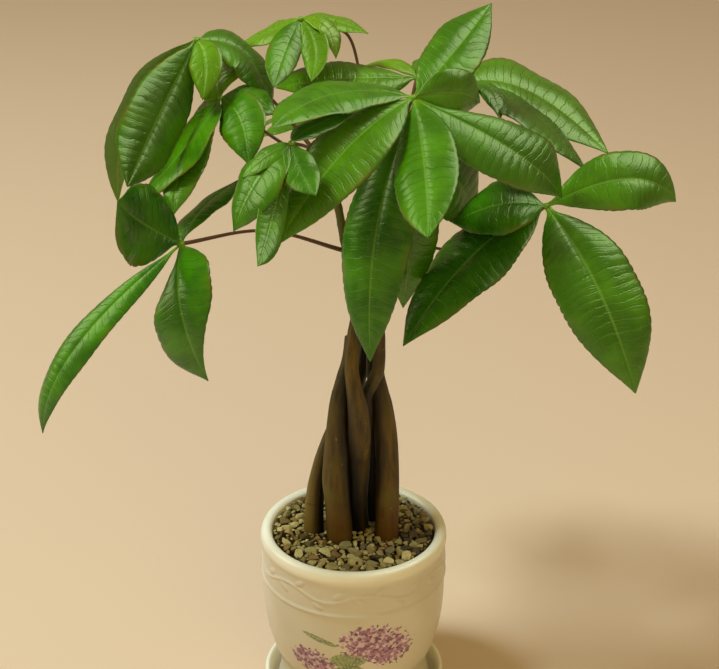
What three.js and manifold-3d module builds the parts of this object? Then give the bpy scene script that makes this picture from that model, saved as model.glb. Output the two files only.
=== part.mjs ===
// A potted money tree: five braided stems in a glazed ceramic pot on a saucer,
// with green shoots that carry leaves of three to six leaflets each.
// Millimetres, +Z up. The origin is the centre of the saucer's underside, and -Y is the front.
import * as THREE from 'three';
import { mergeVertices } from 'three/addons/utils/BufferGeometryUtils.js';
import Module from 'manifold-3d';

const wasm = await Module();
wasm.setup();

// ---- Driving dimensions ----

const SEAT_GAP = 0.3; // between pieces that rest on or grow out of each other

const SAUCER_RADIUS = 60;
const SAUCER_HEIGHT = 15;
const SAUCER_WALL = 3;
const SAUCER_FLOOR = 3;

const POT_BASE_Z = SAUCER_FLOOR + SEAT_GAP;
const POT_RIM_Z = 124;
const POT_RADIUS = 60;
const POT_MOUTH_RADIUS = 52.5;
const POT_WAIST_RADIUS = 48.5;
const POT_FOOT_RADIUS = 51;
const POT_FLOOR_Z = 11;
const BEAD_Z = 93;
const DRAIN_RADIUS = 6;
const DRAIN_SIDES = 24;
const ROUND_SIDES = 34;

const SOIL_TOP_Z = 116.5;
const GRAVEL_BED = 3;
const GRAVEL_TOP_Z = SOIL_TOP_Z + SEAT_GAP + GRAVEL_BED;
const PEBBLE_COUNT = 36;
const PEBBLE_RADIUS = [2, 3.6];
const PEBBLE_SEED = 7;

const STEM_SIDES = 12;
const STEM_STEPS = 15;
const HOLE_CLEARANCE = 0.5;
const SHOOT_SIDES = 8;
const SHOOT_STEPS = 8;
const STALK_RADIUS = 1.2;
const STALK_SIDES = 5;
const STALK_STEPS = 7;

const KNOB_RADIUS = 2.6; // the swelling where the leaflets of a leaf meet
const BLADE_THICKNESS = 0.9;
const BLADE_STEP = 18.5; // length of one facet along a blade
const FEWEST_STEPS = 5;
const BLADE_ACROSS = 4;

// Half-width of a leaflet, as a share of its greatest, from its stalk (0) to its tip (1).
const OUTLINE = [
  [0, 0.07], [0.04, 0.1], [0.1, 0.36], [0.2, 0.68], [0.33, 0.92], [0.48, 1],
  [0.63, 0.96], [0.77, 0.76], [0.88, 0.46], [0.95, 0.2], [1, 0.02],
];
const GROOVE = 0.34; // how steeply a half rises from the midrib
const CURL = 0.46; // how far its outer edge turns down again
const WAVE = 0.05; // height of the waves along the edge
const WAVES = 2.5;
const BEND_PLACE = 0.42; // how far along its length a leaflet bends most

const COLOURS = {
  glaze: 0xe6dcc0,
  soil: 0x3a2a1c,
  gravel: 0x9a9068,
  bark: 0x5c4520,
  shoot: 0x6b6a2c,
  leaf: 0x3d7a1a,
};

// The stems: points up each one as [x, y, z, radius].
const STEMS = {
  stem_left_back: [
    [-26, 3, 66, 4.4], [-27, 2.5, 119, 5.4], [-26, 5, 139, 5.3], [-23, 8.5, 156, 5.2],
    [-18, 13, 172, 5.3], [-8, 17, 195, 5.3], [1, 17, 215, 5], [6, 16, 237, 4.6], [8, 13, 272, 4],
  ],
  stem_left_front: [
    [-8.5, -6, 62, 6.4], [-9, -8.5, 125, 8.2], [-10, -8, 144, 7.9], [-11.5, -7.5, 163, 8],
    [-11, -6.5, 182, 7.5], [-9.8, -6, 204, 6.7], [-8.4, -5, 217, 6.2], [-6, -2.5, 228, 5.6],
    [-2.5, 1, 242, 4.9], [-1, 4, 258, 4.3],
  ],
  stem_middle: [
    [4.5, 7, 64, 4.8], [4, 4, 119, 5.9], [2.2, 2, 143, 6.4], [2.8, 0, 167, 7], [3.8, -7, 190, 6.8],
    [2.6, -12, 214, 6.1], [0.9, -14, 229, 4.9], [-0.8, -14, 242, 4.1], [0, -11.5, 260, 3.9],
    [4, -5, 283, 3.8],
  ],
  stem_right_front: [
    [22.5, -3, 62, 5.8], [22.5, -4.5, 122, 6.9], [22.3, -2.5, 144, 7], [21.6, 1, 168, 7.1],
    [20.6, 4, 188, 7], [18.9, 4, 204, 6.5], [16, 5, 218, 6], [13.8, 5.5, 229, 5.6], [13, 5.5, 244, 4.9],
    [13, 6, 258, 4.3],
  ],
  stem_right_back: [
    [11, 18, 66, 4.8], [10.5, 17, 117, 6], [11, 14, 142, 6], [11, 13, 167, 6], [8.5, 8.5, 190, 5.5],
    [6.3, 1, 208, 4.8], [7.8, -2.5, 219, 4.2], [12.2, -5, 230, 3.9], [15.2, -7, 240, 3.8],
    [15, -8, 284, 3.7],
  ],
};

// The green shoots out of the stems' tops: points as [x, y, z, radius].
const SHOOTS = {
  shoot_left: [
    [4, -5, 284.4, 3.2], [-1, -2, 302, 2.8], [-5, 0, 320, 2.6], [-10, 6, 345, 2.4], [-20, 12, 372, 2.2],
  ],
  shoot_right: [[15, -8, 284.9, 3.2], [17, -2, 320, 2.7], [19, 6, 350, 2.4], [22, 10, 376, 2.2]],
  shoot_back: [[8, 13, 273.6, 3.2], [9, 24, 300, 2.7], [8, 34, 335, 2.4], [6, 44, 368, 2.2]],
};

// The leaves: the shoot and the points of its stalk, the hub where its leaflets meet, and
// each leaflet as [tip offset x, y, z, width, arch, sideways bow, roll in degrees], and for some
// also where along its length it bends most and how far its halves are shifted against each other.
const LEAVES = {
  leaf_front: {
    shoot: 'shoot_right',
    stalk: [[21, 9, 368], [27, -4, 398]],
    hub: [34, -20, 415],
    leaflets: [
      [47, 58, 40, 34, 4, 3, 20, 0.37, 0.07], [-77, -46, -4, 37, 3, 17, -11],
      [-74, -62, -64, 38, 10, 3, -18, 0.45], [6, -79, -54, 36, -1, -2, 16, 0.54, -0.04],
      [87, 3, -61, 41, 18, 3, 49, 0.68, 0.15], [39, 21, -9, 27, 12, -5, 81],
    ],
  },
  leaf_front_behind: {
    shoot: 'shoot_right',
    stalk: [[22, 10, 374], [33, 24, 396]],
    hub: [38, 36, 411],
    leaflets: [
      [-84, -4, -5, 32, 4, 0, -32, 0.59, -0.11], [-33, 24, 0, 15, 6, 2, -7], [30, 48, -6, 28, 8, 0, 0],
    ],
  },
  leaf_hanging: {
    shoot: 'shoot_right',
    stalk: [[19, 3, 340], [27, -2, 374]],
    hub: [30, -8, 394],
    leaflets: [
      [-20, -50, -125, 42, 12, 3, 4, 0.44, -0.02], [0, -2, -112, 35, 11, -2, -6],
      [45, 31, -70, 38, 9, -1, 73],
    ],
  },
  leaf_right: {
    shoot: 'shoot_right',
    stalk: [[17, -2, 308], [36, 14, 312], [66, 10, 312], [97, 2, 333]],
    hub: [113, -10, 347],
    leaflets: [
      [77, 7, 0, 36, 16, -10, 54, 0.7], [52, -47, -99, 49, 16, -3, 38, 0.45, 0.03],
      [-84, -46, -69, 50, 2, 11, -8, 0.35], [-52, 6, -12, 39, 9, -1, -26],
    ],
  },
  leaf_right_back: {
    shoot: 'shoot_right',
    stalk: [[22, 10, 374], [46, 34, 396]],
    hub: [69, 45, 406],
    leaflets: [
      [85, -15, -40, 54, 2, -18, 19, 0.3, -0.02], [70, -33, -45, 40, 8, 1, -6],
      [17, -35, -13, 15, 7, -3, -8],
    ],
  },
  leaf_left_top: {
    shoot: 'shoot_left',
    stalk: [[-20, 12, 370], [-55, 50, 400], [-82, 48, 424]],
    hub: [-91, 24, 437],
    leaflets: [
      [-34, -75, -64, 39, -2, 0, -64, 0.63, -0.02], [-50, -11, -96, 41, 14, -11, 38, 0.41, 0.03],
      [42, -7, -40, 38, 9, -12, 6], [5, -28, -28, 16, 4, -5, 23],
    ],
  },
  leaf_left: {
    shoot: 'shoot_left',
    stalk: [[-16, 9, 362], [-50, 12, 384]],
    hub: [-77, 11, 406],
    leaflets: [
      [-25, -43, -56, 29, 0, 8, 3, 0.57, 0.03], [18, -39, -28, 27, 4, -7, 40],
      [33, -13, -6, 23, 4, -1, 26], [-19, 20, -18, 14, 1, 2, -50], [3, 28, 20, 30, 1, -4, -32],
      [-48, -17, -56, 36, 2, -9, -3],
    ],
  },
  leaf_top: {
    shoot: 'shoot_back',
    stalk: [[6, 43, 366], [3, 66, 410], [-4, 67, 430], [-20, 53, 437]],
    hub: [-31, 42, 445],
    leaflets: [
      [40, -3, -8, 16, 0, -5, 19], [-35, 18, -18, 17, 1, -3, -26], [-14, -45, -29, 19, -3, 2, -25],
      [7, -37, -28, 17, -2, -5, 26], [21, -15, -20, 14, 7, -5, 9],
    ],
  },
  leaf_left_front: {
    shoot: 'shoot_left',
    stalk: [[-14, 8, 355], [-24, -20, 384]],
    hub: [-33, -60, 401],
    leaflets: [
      [-32, -13, -46, 35, 6, 0, -15], [-17, -49, -52, 17, -7, -2, -33, 0.64, 0.12],
      [14, -31, -19, 20, 0, 2, 21], [-27, -3, -19, 15, 3, 0, -23],
      [35, 27, 10, 17, 0, -5, 11],
    ],
  },
  leaf_left_low: {
    shoot: 'shoot_left',
    stalk: [[-4, -1, 315], [-52, -14, 333]],
    hub: [-99, -30, 331],
    leaflets: [
      [-29, -40, 40, 51, -6, 1, -72, 0.41, 0.11], [-85, -24, -111, 22, 16, 5, -33, 0.7, -0.07],
      [16, -39, -69, 41, 19, -2, 43, 0.47, -0.2], [33, 37, 27, 26, 3, -5, -13, 0.41, -0.14],
    ],
  },
  leaf_back_left: {
    shoot: 'shoot_back',
    stalk: [[8, 34, 335], [-4, 66, 352]],
    hub: [-12, 96, 362],
    leaflets: [
      [-58, 40, -18, 36, 12, 4, 0], [-20, 84, -26, 38, 14, 0, 0], [42, 74, -30, 36, 12, -4, 0],
      [-46, -20, 0, 28, 8, 0, 0],
    ],
  },
  leaf_back_right: {
    shoot: 'shoot_back',
    stalk: [[8, 37, 344], [30, 60, 350]],
    hub: [58, 88, 356],
    leaflets: [[22, 82, -26, 38, 14, 0, 0], [70, 42, -22, 38, 12, 0, 0], [64, -20, -10, 34, 10, 0, 0]],
  },
};

// ---- Solids ----

function toSolid(geometry) {
  const bare = geometry.clone();
  bare.deleteAttribute('normal');
  bare.deleteAttribute('uv');
  const merged = mergeVertices(bare, 1e-4);
  const vertProperties = new Float32Array(merged.attributes.position.array);
  const triVerts = new Uint32Array(merged.index.array);
  return new wasm.Manifold(new wasm.Mesh({ numProp: 3, vertProperties, triVerts }));
}

function toGeometry(solid) {
  const mesh = solid.getMesh();
  const geometry = new THREE.BufferGeometry();
  geometry.setAttribute('position', new THREE.BufferAttribute(mesh.vertProperties, 3));
  geometry.setIndex(new THREE.BufferAttribute(mesh.triVerts, 1));
  geometry.computeVertexNormals();
  return geometry;
}

// The geometry of a solid without the scraps that a join or a cut left loose.
function largestPiece(solid) {
  const pieces = solid.decompose().sort((one, other) => other.volume() - one.volume());
  return toGeometry(pieces[0]);
}

function unite(geometries) {
  return largestPiece(geometries.map(toSolid).reduce((sum, piece) => sum.add(piece)));
}

function cut(geometry, tools) {
  return largestPiece(tools.map(toSolid).reduce((whole, tool) => whole.subtract(tool), toSolid(geometry)));
}

// A round body turned about Z from a profile of [radius, z] pairs, lowest point on the axis first.
function turned(profile) {
  const points = profile.map(([radius, z]) => new THREE.Vector2(radius, z));
  return new THREE.LatheGeometry(points, ROUND_SIDES).rotateX(Math.PI / 2);
}

// A closed body from rings of points, each ring with as many points, joined in order.
function skin(rings) {
  const sides = rings[0].length;
  const positions = rings.flat().flatMap((point) => point.toArray());
  const index = [];
  for (let ring = 0; ring < rings.length - 1; ring += 1) {
    for (let side = 0; side < sides; side += 1) {
      const a = ring * sides + side;
      const b = ring * sides + ((side + 1) % sides);
      index.push(a, b, b + sides, a, b + sides, a + sides);
    }
  }
  const last = (rings.length - 1) * sides;
  for (let side = 1; side < sides - 1; side += 1) {
    index.push(0, side + 1, side);
    index.push(last, last + side, last + side + 1);
  }
  const geometry = new THREE.BufferGeometry();
  geometry.setAttribute('position', new THREE.Float32BufferAttribute(positions, 3));
  geometry.setIndex(index);
  return geometry;
}

// A round limb along points of [x, y, z, radius].
function limb(points, sides, steps, extra = 0) {
  const curve = new THREE.CatmullRomCurve3(points.map(([x, y, z]) => new THREE.Vector3(x, y, z)));
  const radii = new THREE.CatmullRomCurve3(points.map(([, , , radius]) => new THREE.Vector3(radius, 0, 0)));
  const frames = curve.computeFrenetFrames(steps, false);
  const rings = frames.tangents.map((tangent, step) => {
    const along = step / steps;
    const t = curve.getUtoTmapping(along);
    const centre = curve.getPoint(t);
    const radius = radii.getPoint(t).x + extra;
    return Array.from({ length: sides }, (_, side) => {
      const angle = (2 * Math.PI * side) / sides;
      return centre.clone()
        .addScaledVector(frames.normals[step], radius * Math.cos(angle))
        .addScaledVector(frames.binormals[step], radius * Math.sin(angle));
    });
  });
  return skin(rings);
}

// ---- Saucer, pot, soil and gravel ----

function makeSaucer() {
  const inner = SAUCER_RADIUS - SAUCER_WALL;
  return turned([
    [0, 0], [50, 0], [54, 1.2], [58, 7], [SAUCER_RADIUS, SAUCER_HEIGHT - 1.2],
    [SAUCER_RADIUS - 0.8, SAUCER_HEIGHT], [inner + 0.6, SAUCER_HEIGHT], [inner, SAUCER_HEIGHT - 1],
    [55, 7.5], [53, SAUCER_FLOOR], [0, SAUCER_FLOOR],
  ]);
}

function potOutside() {
  return [
    [POT_FOOT_RADIUS - 1, POT_BASE_Z], [POT_FOOT_RADIUS, POT_BASE_Z + 3], [POT_FOOT_RADIUS - 0.6, 11],
    [POT_WAIST_RADIUS, 20], [POT_WAIST_RADIUS + 0.8, 30], [52.5, 38], [55.6, 48], [58, 60], [59.4, 74],
    [59.4, BEAD_Z - 1.8], [60.3, BEAD_Z], [59.4, BEAD_Z + 1.8], [59.2, 113], [POT_RADIUS + 0.2, 116],
    [POT_RADIUS + 0.4, 119.5], [POT_RADIUS - 0.6, 122.6], [57.6, POT_RIM_Z],
  ];
}

function potInside() {
  return [
    [55, POT_RIM_Z - 0.1], [POT_MOUTH_RADIUS + 0.8, 122.4], [POT_MOUTH_RADIUS, 119.6],
    [POT_MOUTH_RADIUS, 74], [50.6, 56], [45.5, 38], [43, 24], [43, 15], [40, POT_FLOOR_Z],
  ];
}

function makePot() {
  const outside = potOutside();
  const inside = potInside();
  const body = turned([[0, POT_BASE_Z], ...outside, ...inside, [0, POT_FLOOR_Z]]);
  const drain = new THREE.CylinderGeometry(DRAIN_RADIUS, DRAIN_RADIUS, 2 * POT_FLOOR_Z, DRAIN_SIDES);
  drain.rotateX(Math.PI / 2).translate(0, 0, POT_BASE_Z);
  return cut(body, [drain]);
}

// Each stem's hole is a little wider than the stem and goes a little deeper.
function stemHoles() {
  return Object.values(STEMS).map(([[x, y, z, radius], ...rest]) => {
    const route = [[x, y, z - HOLE_CLEARANCE, radius], ...rest];
    return limb(route, STEM_SIDES, STEM_STEPS, HOLE_CLEARANCE);
  });
}

function makeSoil() {
  const wall = potInside().reverse().filter(([, z]) => z < SOIL_TOP_Z);
  const fitted = wall.map(([radius, z]) => [radius - SEAT_GAP, z + SEAT_GAP]);
  const top = [POT_MOUTH_RADIUS - SEAT_GAP, SOIL_TOP_Z];
  const body = turned([[0, POT_FLOOR_Z + SEAT_GAP], ...fitted, top, [0, SOIL_TOP_Z]]);
  return cut(body, stemHoles());
}

// A small seeded generator, so that the pebbles fall the same way each time.
function seeded(seed) {
  let state = seed;
  return () => {
    state = (state * 1664525 + 1013904223) % 4294967296;
    return state / 4294967296;
  };
}

function makeGravel() {
  const edge = POT_MOUTH_RADIUS - SEAT_GAP;
  const bottom = SOIL_TOP_Z + SEAT_GAP;
  const bed = turned([[0, bottom], [edge, bottom], [edge, GRAVEL_TOP_Z], [0, GRAVEL_TOP_Z]]);
  const random = seeded(PEBBLE_SEED);
  const golden = Math.PI * (3 - Math.sqrt(5));
  const [least, most] = PEBBLE_RADIUS;
  const pebbles = Array.from({ length: PEBBLE_COUNT }, (_, count) => {
    const size = least + (most - least) * random();
    const out = (edge - size - 0.4) * Math.sqrt((count + 0.5) / PEBBLE_COUNT);
    const pebble = new THREE.OctahedronGeometry(size, 0);
    pebble.scale(1, 0.8, 0.75);
    pebble.rotateZ(random() * Math.PI);
    pebble.translate(out * Math.cos(count * golden), out * Math.sin(count * golden), GRAVEL_TOP_Z + 0.3);
    return pebble;
  });
  return cut(unite([bed, ...pebbles]), stemHoles());
}

// ---- Leaves and shoots ----

function outlineAt(along) {
  const next = Math.max(1, OUTLINE.findIndex(([place]) => place >= along));
  const [from, low] = OUTLINE[next - 1];
  const [to, high] = OUTLINE[next];
  return low + ((high - low) * (along - from)) / (to - from);
}

// A leaflet is a thin blade, arched along its midrib, with a groove there and waved edges.
function leaflet(hub, [x, y, z, width, arch, bow, roll, bendPlace = BEND_PLACE, skew = 0]) {
  const base = new THREE.Vector3(...hub);
  const reach = new THREE.Vector3(x, y, z);
  const chord = reach.clone().normalize();
  const outward = new THREE.Vector3(x, y, 0).normalize();
  const face = new THREE.Vector3(0, 0, 1).addScaledVector(outward, 0.6);
  face.addScaledVector(chord, -face.dot(chord)).normalize();
  face.applyAxisAngle(chord, THREE.MathUtils.degToRad(roll));
  const aside = chord.clone().cross(face);
  const bend = base.clone().addScaledVector(reach, bendPlace).addScaledVector(face, 2 * arch);
  bend.addScaledVector(aside, 2 * bow);
  const midrib = new THREE.QuadraticBezierCurve3(base, bend, base.clone().add(reach));
  const steps = Math.max(FEWEST_STEPS, Math.round(reach.length() / BLADE_STEP));
  const rings = Array.from({ length: steps + 1 }, (_, step) => {
    const along = step / steps;
    const centre = midrib.getPoint(along);
    const tangent = midrib.getTangent(along);
    const side = tangent.clone().cross(face).normalize();
    const normal = side.clone().cross(tangent).normalize();
    const shift = 4 * skew * along * (1 - along);
    const point = (across, lift) => {
      const half = (width / 2) * outlineAt(along + shift * Math.sign(across));
      const rise = half * (GROOVE * Math.abs(across) - CURL * across ** 2);
      const wave = half * WAVE * across ** 2 * Math.sin(2 * Math.PI * WAVES * along) * Math.sign(across);
      return centre.clone().addScaledVector(side, half * across).addScaledVector(normal, rise + wave + lift);
    };
    const places = Array.from({ length: BLADE_ACROSS + 1 }, (__, place) => (2 * place) / BLADE_ACROSS - 1);
    const top = places.map((across) => point(across, BLADE_THICKNESS / 2));
    const under = places.reverse().map((across) => point(across, -BLADE_THICKNESS / 2));
    return [...top, ...under];
  });
  return skin(rings);
}

function makeLeaf({ hub, leaflets }) {
  const knob = new THREE.IcosahedronGeometry(KNOB_RADIUS).translate(...hub);
  return unite([knob, ...leaflets.map((row) => leaflet(hub, row))]);
}

// A leaf's stalk stops just short of the knob that it carries.
function makeStalk({ stalk, hub }) {
  const end = new THREE.Vector3(...hub);
  const before = new THREE.Vector3(...stalk[stalk.length - 1]);
  end.addScaledVector(end.clone().sub(before).normalize(), -(KNOB_RADIUS + 2 * SEAT_GAP));
  const route = [...stalk, end.toArray()].map((point) => [...point, STALK_RADIUS]);
  return limb(route, STALK_SIDES, STALK_STEPS);
}

function makeShoot(points, leaves) {
  return unite([limb(points, SHOOT_SIDES, SHOOT_STEPS), ...leaves.map(makeStalk)]);
}

// ---- Assembly ----

const group = new THREE.Group();

function add(name, geometry, color, roughness) {
  const mesh = new THREE.Mesh(geometry, new THREE.MeshStandardMaterial({ color, roughness, metalness: 0 }));
  mesh.name = name;
  group.add(mesh);
}

add('saucer', makeSaucer(), COLOURS.glaze, 0.25);
add('pot', makePot(), COLOURS.glaze, 0.25);
add('soil', makeSoil(), COLOURS.soil, 1);
add('gravel', makeGravel(), COLOURS.gravel, 0.9);
for (const [name, points] of Object.entries(STEMS)) {
  add(name, limb(points, STEM_SIDES, STEM_STEPS), COLOURS.bark, 0.85);
}
for (const [name, points] of Object.entries(SHOOTS)) {
  const leaves = Object.values(LEAVES).filter(({ shoot }) => shoot === name);
  add(name, makeShoot(points, leaves), COLOURS.shoot, 0.6);
}
for (const [name, leaf] of Object.entries(LEAVES)) {
  add(name, makeLeaf(leaf), COLOURS.leaf, 0.4);
}

export default group;
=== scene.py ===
"""A potted money tree: five braided stems in a glazed pot on a saucer, with shoots and glossy leaves.

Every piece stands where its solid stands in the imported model. +Z is up and the front is -Y. Lengths
are millimetres, but metres where a comment says so, in the materials' numbers and for lamps and camera.
"""
import functools
import math
import random
from collections import namedtuple

import bmesh
import bpy
import numpy as np
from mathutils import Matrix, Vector, noise


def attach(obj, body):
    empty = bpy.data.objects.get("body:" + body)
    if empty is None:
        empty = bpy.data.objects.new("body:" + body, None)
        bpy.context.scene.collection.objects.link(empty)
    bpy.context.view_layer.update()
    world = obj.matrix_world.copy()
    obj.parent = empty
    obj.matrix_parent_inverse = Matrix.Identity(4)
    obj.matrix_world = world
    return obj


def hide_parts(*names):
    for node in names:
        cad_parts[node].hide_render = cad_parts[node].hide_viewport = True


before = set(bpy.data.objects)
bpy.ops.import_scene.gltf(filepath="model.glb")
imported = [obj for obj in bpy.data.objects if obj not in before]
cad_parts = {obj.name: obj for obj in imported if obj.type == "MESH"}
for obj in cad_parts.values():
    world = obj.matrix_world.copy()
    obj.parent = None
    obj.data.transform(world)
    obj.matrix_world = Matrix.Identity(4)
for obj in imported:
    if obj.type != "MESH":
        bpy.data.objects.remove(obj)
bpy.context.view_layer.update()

MM = 0.001
TURN = 2 * math.pi

# ---- The pot and the saucer, as (radius, z) from the axis out and up ----

AXIS = 0.01  # radius of the ring that closes a round body on its axis
SAUCER_COLUMNS = 200
SAUCER_PROFILE = [
    (AXIS, 0), (50, 0), (54, 1.2), (57, 5), (58, 7), (58.6, 8.4), (58.3, 9.2), (59.4, 11.4),
    (60, 13.6), (59.3, 14.9), (58.2, 15), (57.2, 14.2), (56, 11), (55, 7.5), (53, 3.6), (50, 3), (AXIS, 3),
]
SAUCER_RIM_LIGHT = (0.005, 0.011)  # heights in metres between which the glaze is painted paler, as painted light on the rim

POT_COLUMNS = 420
POT_ROWS = 260  # up its outside
LIP_ROWS = 24  # down its inside
POT_BASE_Z = 3.3
POT_RIM_Z = 124
POT_RADIUS = 59.5
POT_MOUTH_RADIUS = 52.5
POT_CORE_RADIUS = 40  # of the flat middle of its base, and of the end of its hollow
POT_HOLLOW_Z = 100  # the soil hides how the hollow goes on below
POT_OUTSIDE = [
    (47, POT_BASE_Z), (50, 3.5), (51, 6.3), (50.4, 11), (48.5, 20), (49.3, 30), (52.5, 38), (55.6, 48),
    (58, 60), (59.3, 74), (59.5, 84), (59.5, 100), (59.3, 112), (59.6, 114.6), (60.3, 116.6),
    (60.4, 119.5), (59.4, 122.6), (57.6, 123.8), (56.2, POT_RIM_Z),
]
POT_INSIDE = [
    (54.8, 123.7), (53.3, 122.2), (52.6, 119.6), (POT_MOUTH_RADIUS, 114), (POT_MOUTH_RADIUS, 108),
]
POT_RIM_LIGHT = (0.112, 0.121)  # heights in metres between which the glaze is painted paler, as painted light on the rim

# The raised band, and above it a vine that waves round the pot with a leaf on either side in turn.
RELIEF_HEIGHTS = (80, 114.5)
BAND_Z = 93
BAND_HEIGHT = 0.9
BAND_SPREAD = 1.3
SCROLL_HEIGHTS = (95.5, 114)
SCROLL_FADE = 2
VINE_Z = 105
VINE_SWING = 3.2
VINE_WAVES = 7
VINE_START = 0.6
VINE_HEIGHT = 0.7
VINE_SPREAD = 1.1
VINE_LEAVES = 28
VINE_FIRST_LEAF = 0.3  # how far from the front, in leaf spacings
VINE_LEAF_OFFSET = 4.2  # from the vine to a leaf's middle
VINE_LEAF_SLANT = 0.6
VINE_LEAF_SIZE = (4.6, 2.1)  # half-length and half-width
VINE_LEAF_HEIGHT = 0.75

# The lilac spray on the pot's front: (x, z, half-length, half-width, turn in degrees) of each oval.
BLOSSOMS = [(13, 71, 22, 13, 8), (-26, 53, 13, 10, 25), (22, 64, 13, 11, 0)]
SPRAY_LEAVES = [(-3, 59, 13, 6.5, -8), (-21, 73, 12, 2.1, 16), (2, 49, 10, 5, 35), (-12, 47, 9, 4, -30)]
SPRAY_FRONT_Y = (-0.005, -0.01)  # metres: the spray is only on the side that faces the front
FLORET = 1.8  # the size of a floret

# ---- The gravel ----

GRAVEL_Z = 119.3
GRAVEL_RADIUS = 52.4
GRAVEL_BANK = 2  # how much higher the stones lie at the pot's wall
PEBBLE_SEED = 5
PEBBLES = 480
PEBBLE_TRIES = 30000
PEBBLE_SIZES = (1.2, 6)
PEBBLE_FALL = 2.4  # how soon the small sizes follow the large ones
PEBBLE_FLATS = 9
FLAT_DISTANCES = (0.4, 0.8)  # from a stone's middle, as shares of its radius
FINER_SIZE = 2  # stones above this size are cut from a finer ball
WIDTHS = (0.6, 1)  # of a stone, as shares of its length
HEIGHTS = (0.4, 0.7)
GREATEST_TILT = 0.5
UNEVEN_BED = (-0.4, 0.8)
WALL_CLEARANCE = 0.8  # as a share of a stone's size
STEM_CLEARANCE = 0.55
STONE_SPACING = 0.7  # as a share of the sizes of two stones
DARK_SHARE = 0.16
BROWN_SHARE = 0.2
SHADED_SIDE_X = 12  # to its right, more stones are dark or brown, as painted shade on that side
SHADED_SIDE_MORE = 0.25
SLIGHT_STAIN = 0.25
STRONG_STAIN = 0.5

# ---- The plant: the points that the solids are made from ----

# Points up each stem and shoot as (x, y, z, radius).
STEMS = {
    "stem_left_back": [
        (-25.7, 2.6, 100, 5.8), (-26, 2.2, 119, 6.2), (-25.3, 4.6, 139, 5.9), (-23, 8.5, 156, 5.2),
        (-18, 13, 172, 5.3), (-8, 17, 195, 5.3), (1, 17, 215, 5), (6, 16, 237, 4.6), (8, 13, 272, 4),
    ],
    "stem_left_front": [
        (-8.8, -7.5, 100, 7.6), (-9, -8.5, 125, 8.2), (-10, -8, 144, 7.9), (-11.3, -7.5, 163, 8.3),
        (-10.8, -6.5, 182, 7.8), (-9.8, -6, 204, 6.7), (-8.4, -5, 217, 6.2), (-6, -2.5, 228, 5.6),
        (-2.5, 1, 242, 4.9), (-1, 4, 258, 4.3),
    ],
    "stem_middle": [
        (4.2, 5, 100, 5.5), (4, 4, 119, 5.9), (2.2, 2, 143, 6.6), (2.8, 0, 167, 7.5),
        (3.6, -7, 190, 7.4), (2.9, -12, 214, 6.4), (0.9, -14, 229, 4.9), (-0.8, -14, 242, 4.1),
        (0, -11.5, 260, 3.9), (4, -5, 283, 3.8),
    ],
    "stem_right_front": [
        (21.4, -4, 100, 7.2), (21.5, -4.5, 122, 7.5), (21.7, -2.5, 144, 7.4), (21.6, 1, 168, 7.1),
        (20.3, 4, 188, 7.3), (18.4, 4, 204, 7), (16, 5, 218, 6), (13.8, 5.5, 229, 5.6),
        (13, 5.5, 244, 4.9), (13, 6, 258, 4.3),
    ],
    "stem_right_back": [
        (10.7, 17.4, 100, 5.6), (10.5, 17, 117, 6), (11, 14, 142, 6), (11, 13, 167, 6),
        (8.7, 8.5, 190, 5.6), (7.4, 1, 208, 5.1), (7.8, -2.5, 219, 4.2), (12.2, -5, 230, 3.9),
        (15.2, -7, 240, 3.8), (15, -8, 284, 3.7),
    ],
}
SHOOTS = {
    "shoot_left": [
        (4, -5, 284.4, 3.2), (-1, -2, 302, 2.8), (-5, 0, 320, 2.6), (-10, 6, 345, 2.4),
        (-20, 12, 372, 2.2),
    ],
    "shoot_right": [(15, -8, 284.9, 3.2), (17, -2, 320, 2.7), (19, 6, 350, 2.4), (22, 10, 376, 2.2)],
    "shoot_back": [(8, 13, 273.6, 3.2), (9, 24, 300, 2.7), (8, 34, 335, 2.4), (6, 44, 368, 2.2)],
}
STEM_SIDES = 40
STEM_STEP = 1.6
STEM_TOP = 0.45  # the share of its radius to which a stem's last ring narrows
FLUTES_AROUND = 2.2  # how closely they follow each other round a stem
FLUTE_LENGTH = 55
FLUTE_HEIGHT = 0.55
SWELLING_LENGTH = 11
SWELLING_HEIGHT = 0.35
STEM_SEED_STEP = 1.7
CREVICE = (4.8, 16.8)  # gaps to the next stem between which the painted shade on the bark goes from full to none
CREVICE_STEPS = 120

SHOOT_SIDES = 20
SHOOT_STEP = 1.5
SHOOT_ROOT = 5  # how far a shoot reaches down into its stem
SHOOT_FLARE = 0.5
SCAR_SPACING = 3.1
SCAR_HEIGHT = 0.25
SHOOT_TIP = (2.4, 2.4, 3)
STALK_SIDES = 14
STALK_STEP = 1.6
STALK_RADIUS = 0.95
STALK_FOOT_FLARE = 0.5
STALK_TOP_FLARE = 0.3
KNOB = (2.1, 2.1, 1.68)
KNOB_KIND = (0, 0.55, 0.3)
BALL_LUMPS = 1.7  # how closely the lumps of a knob follow each other

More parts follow.
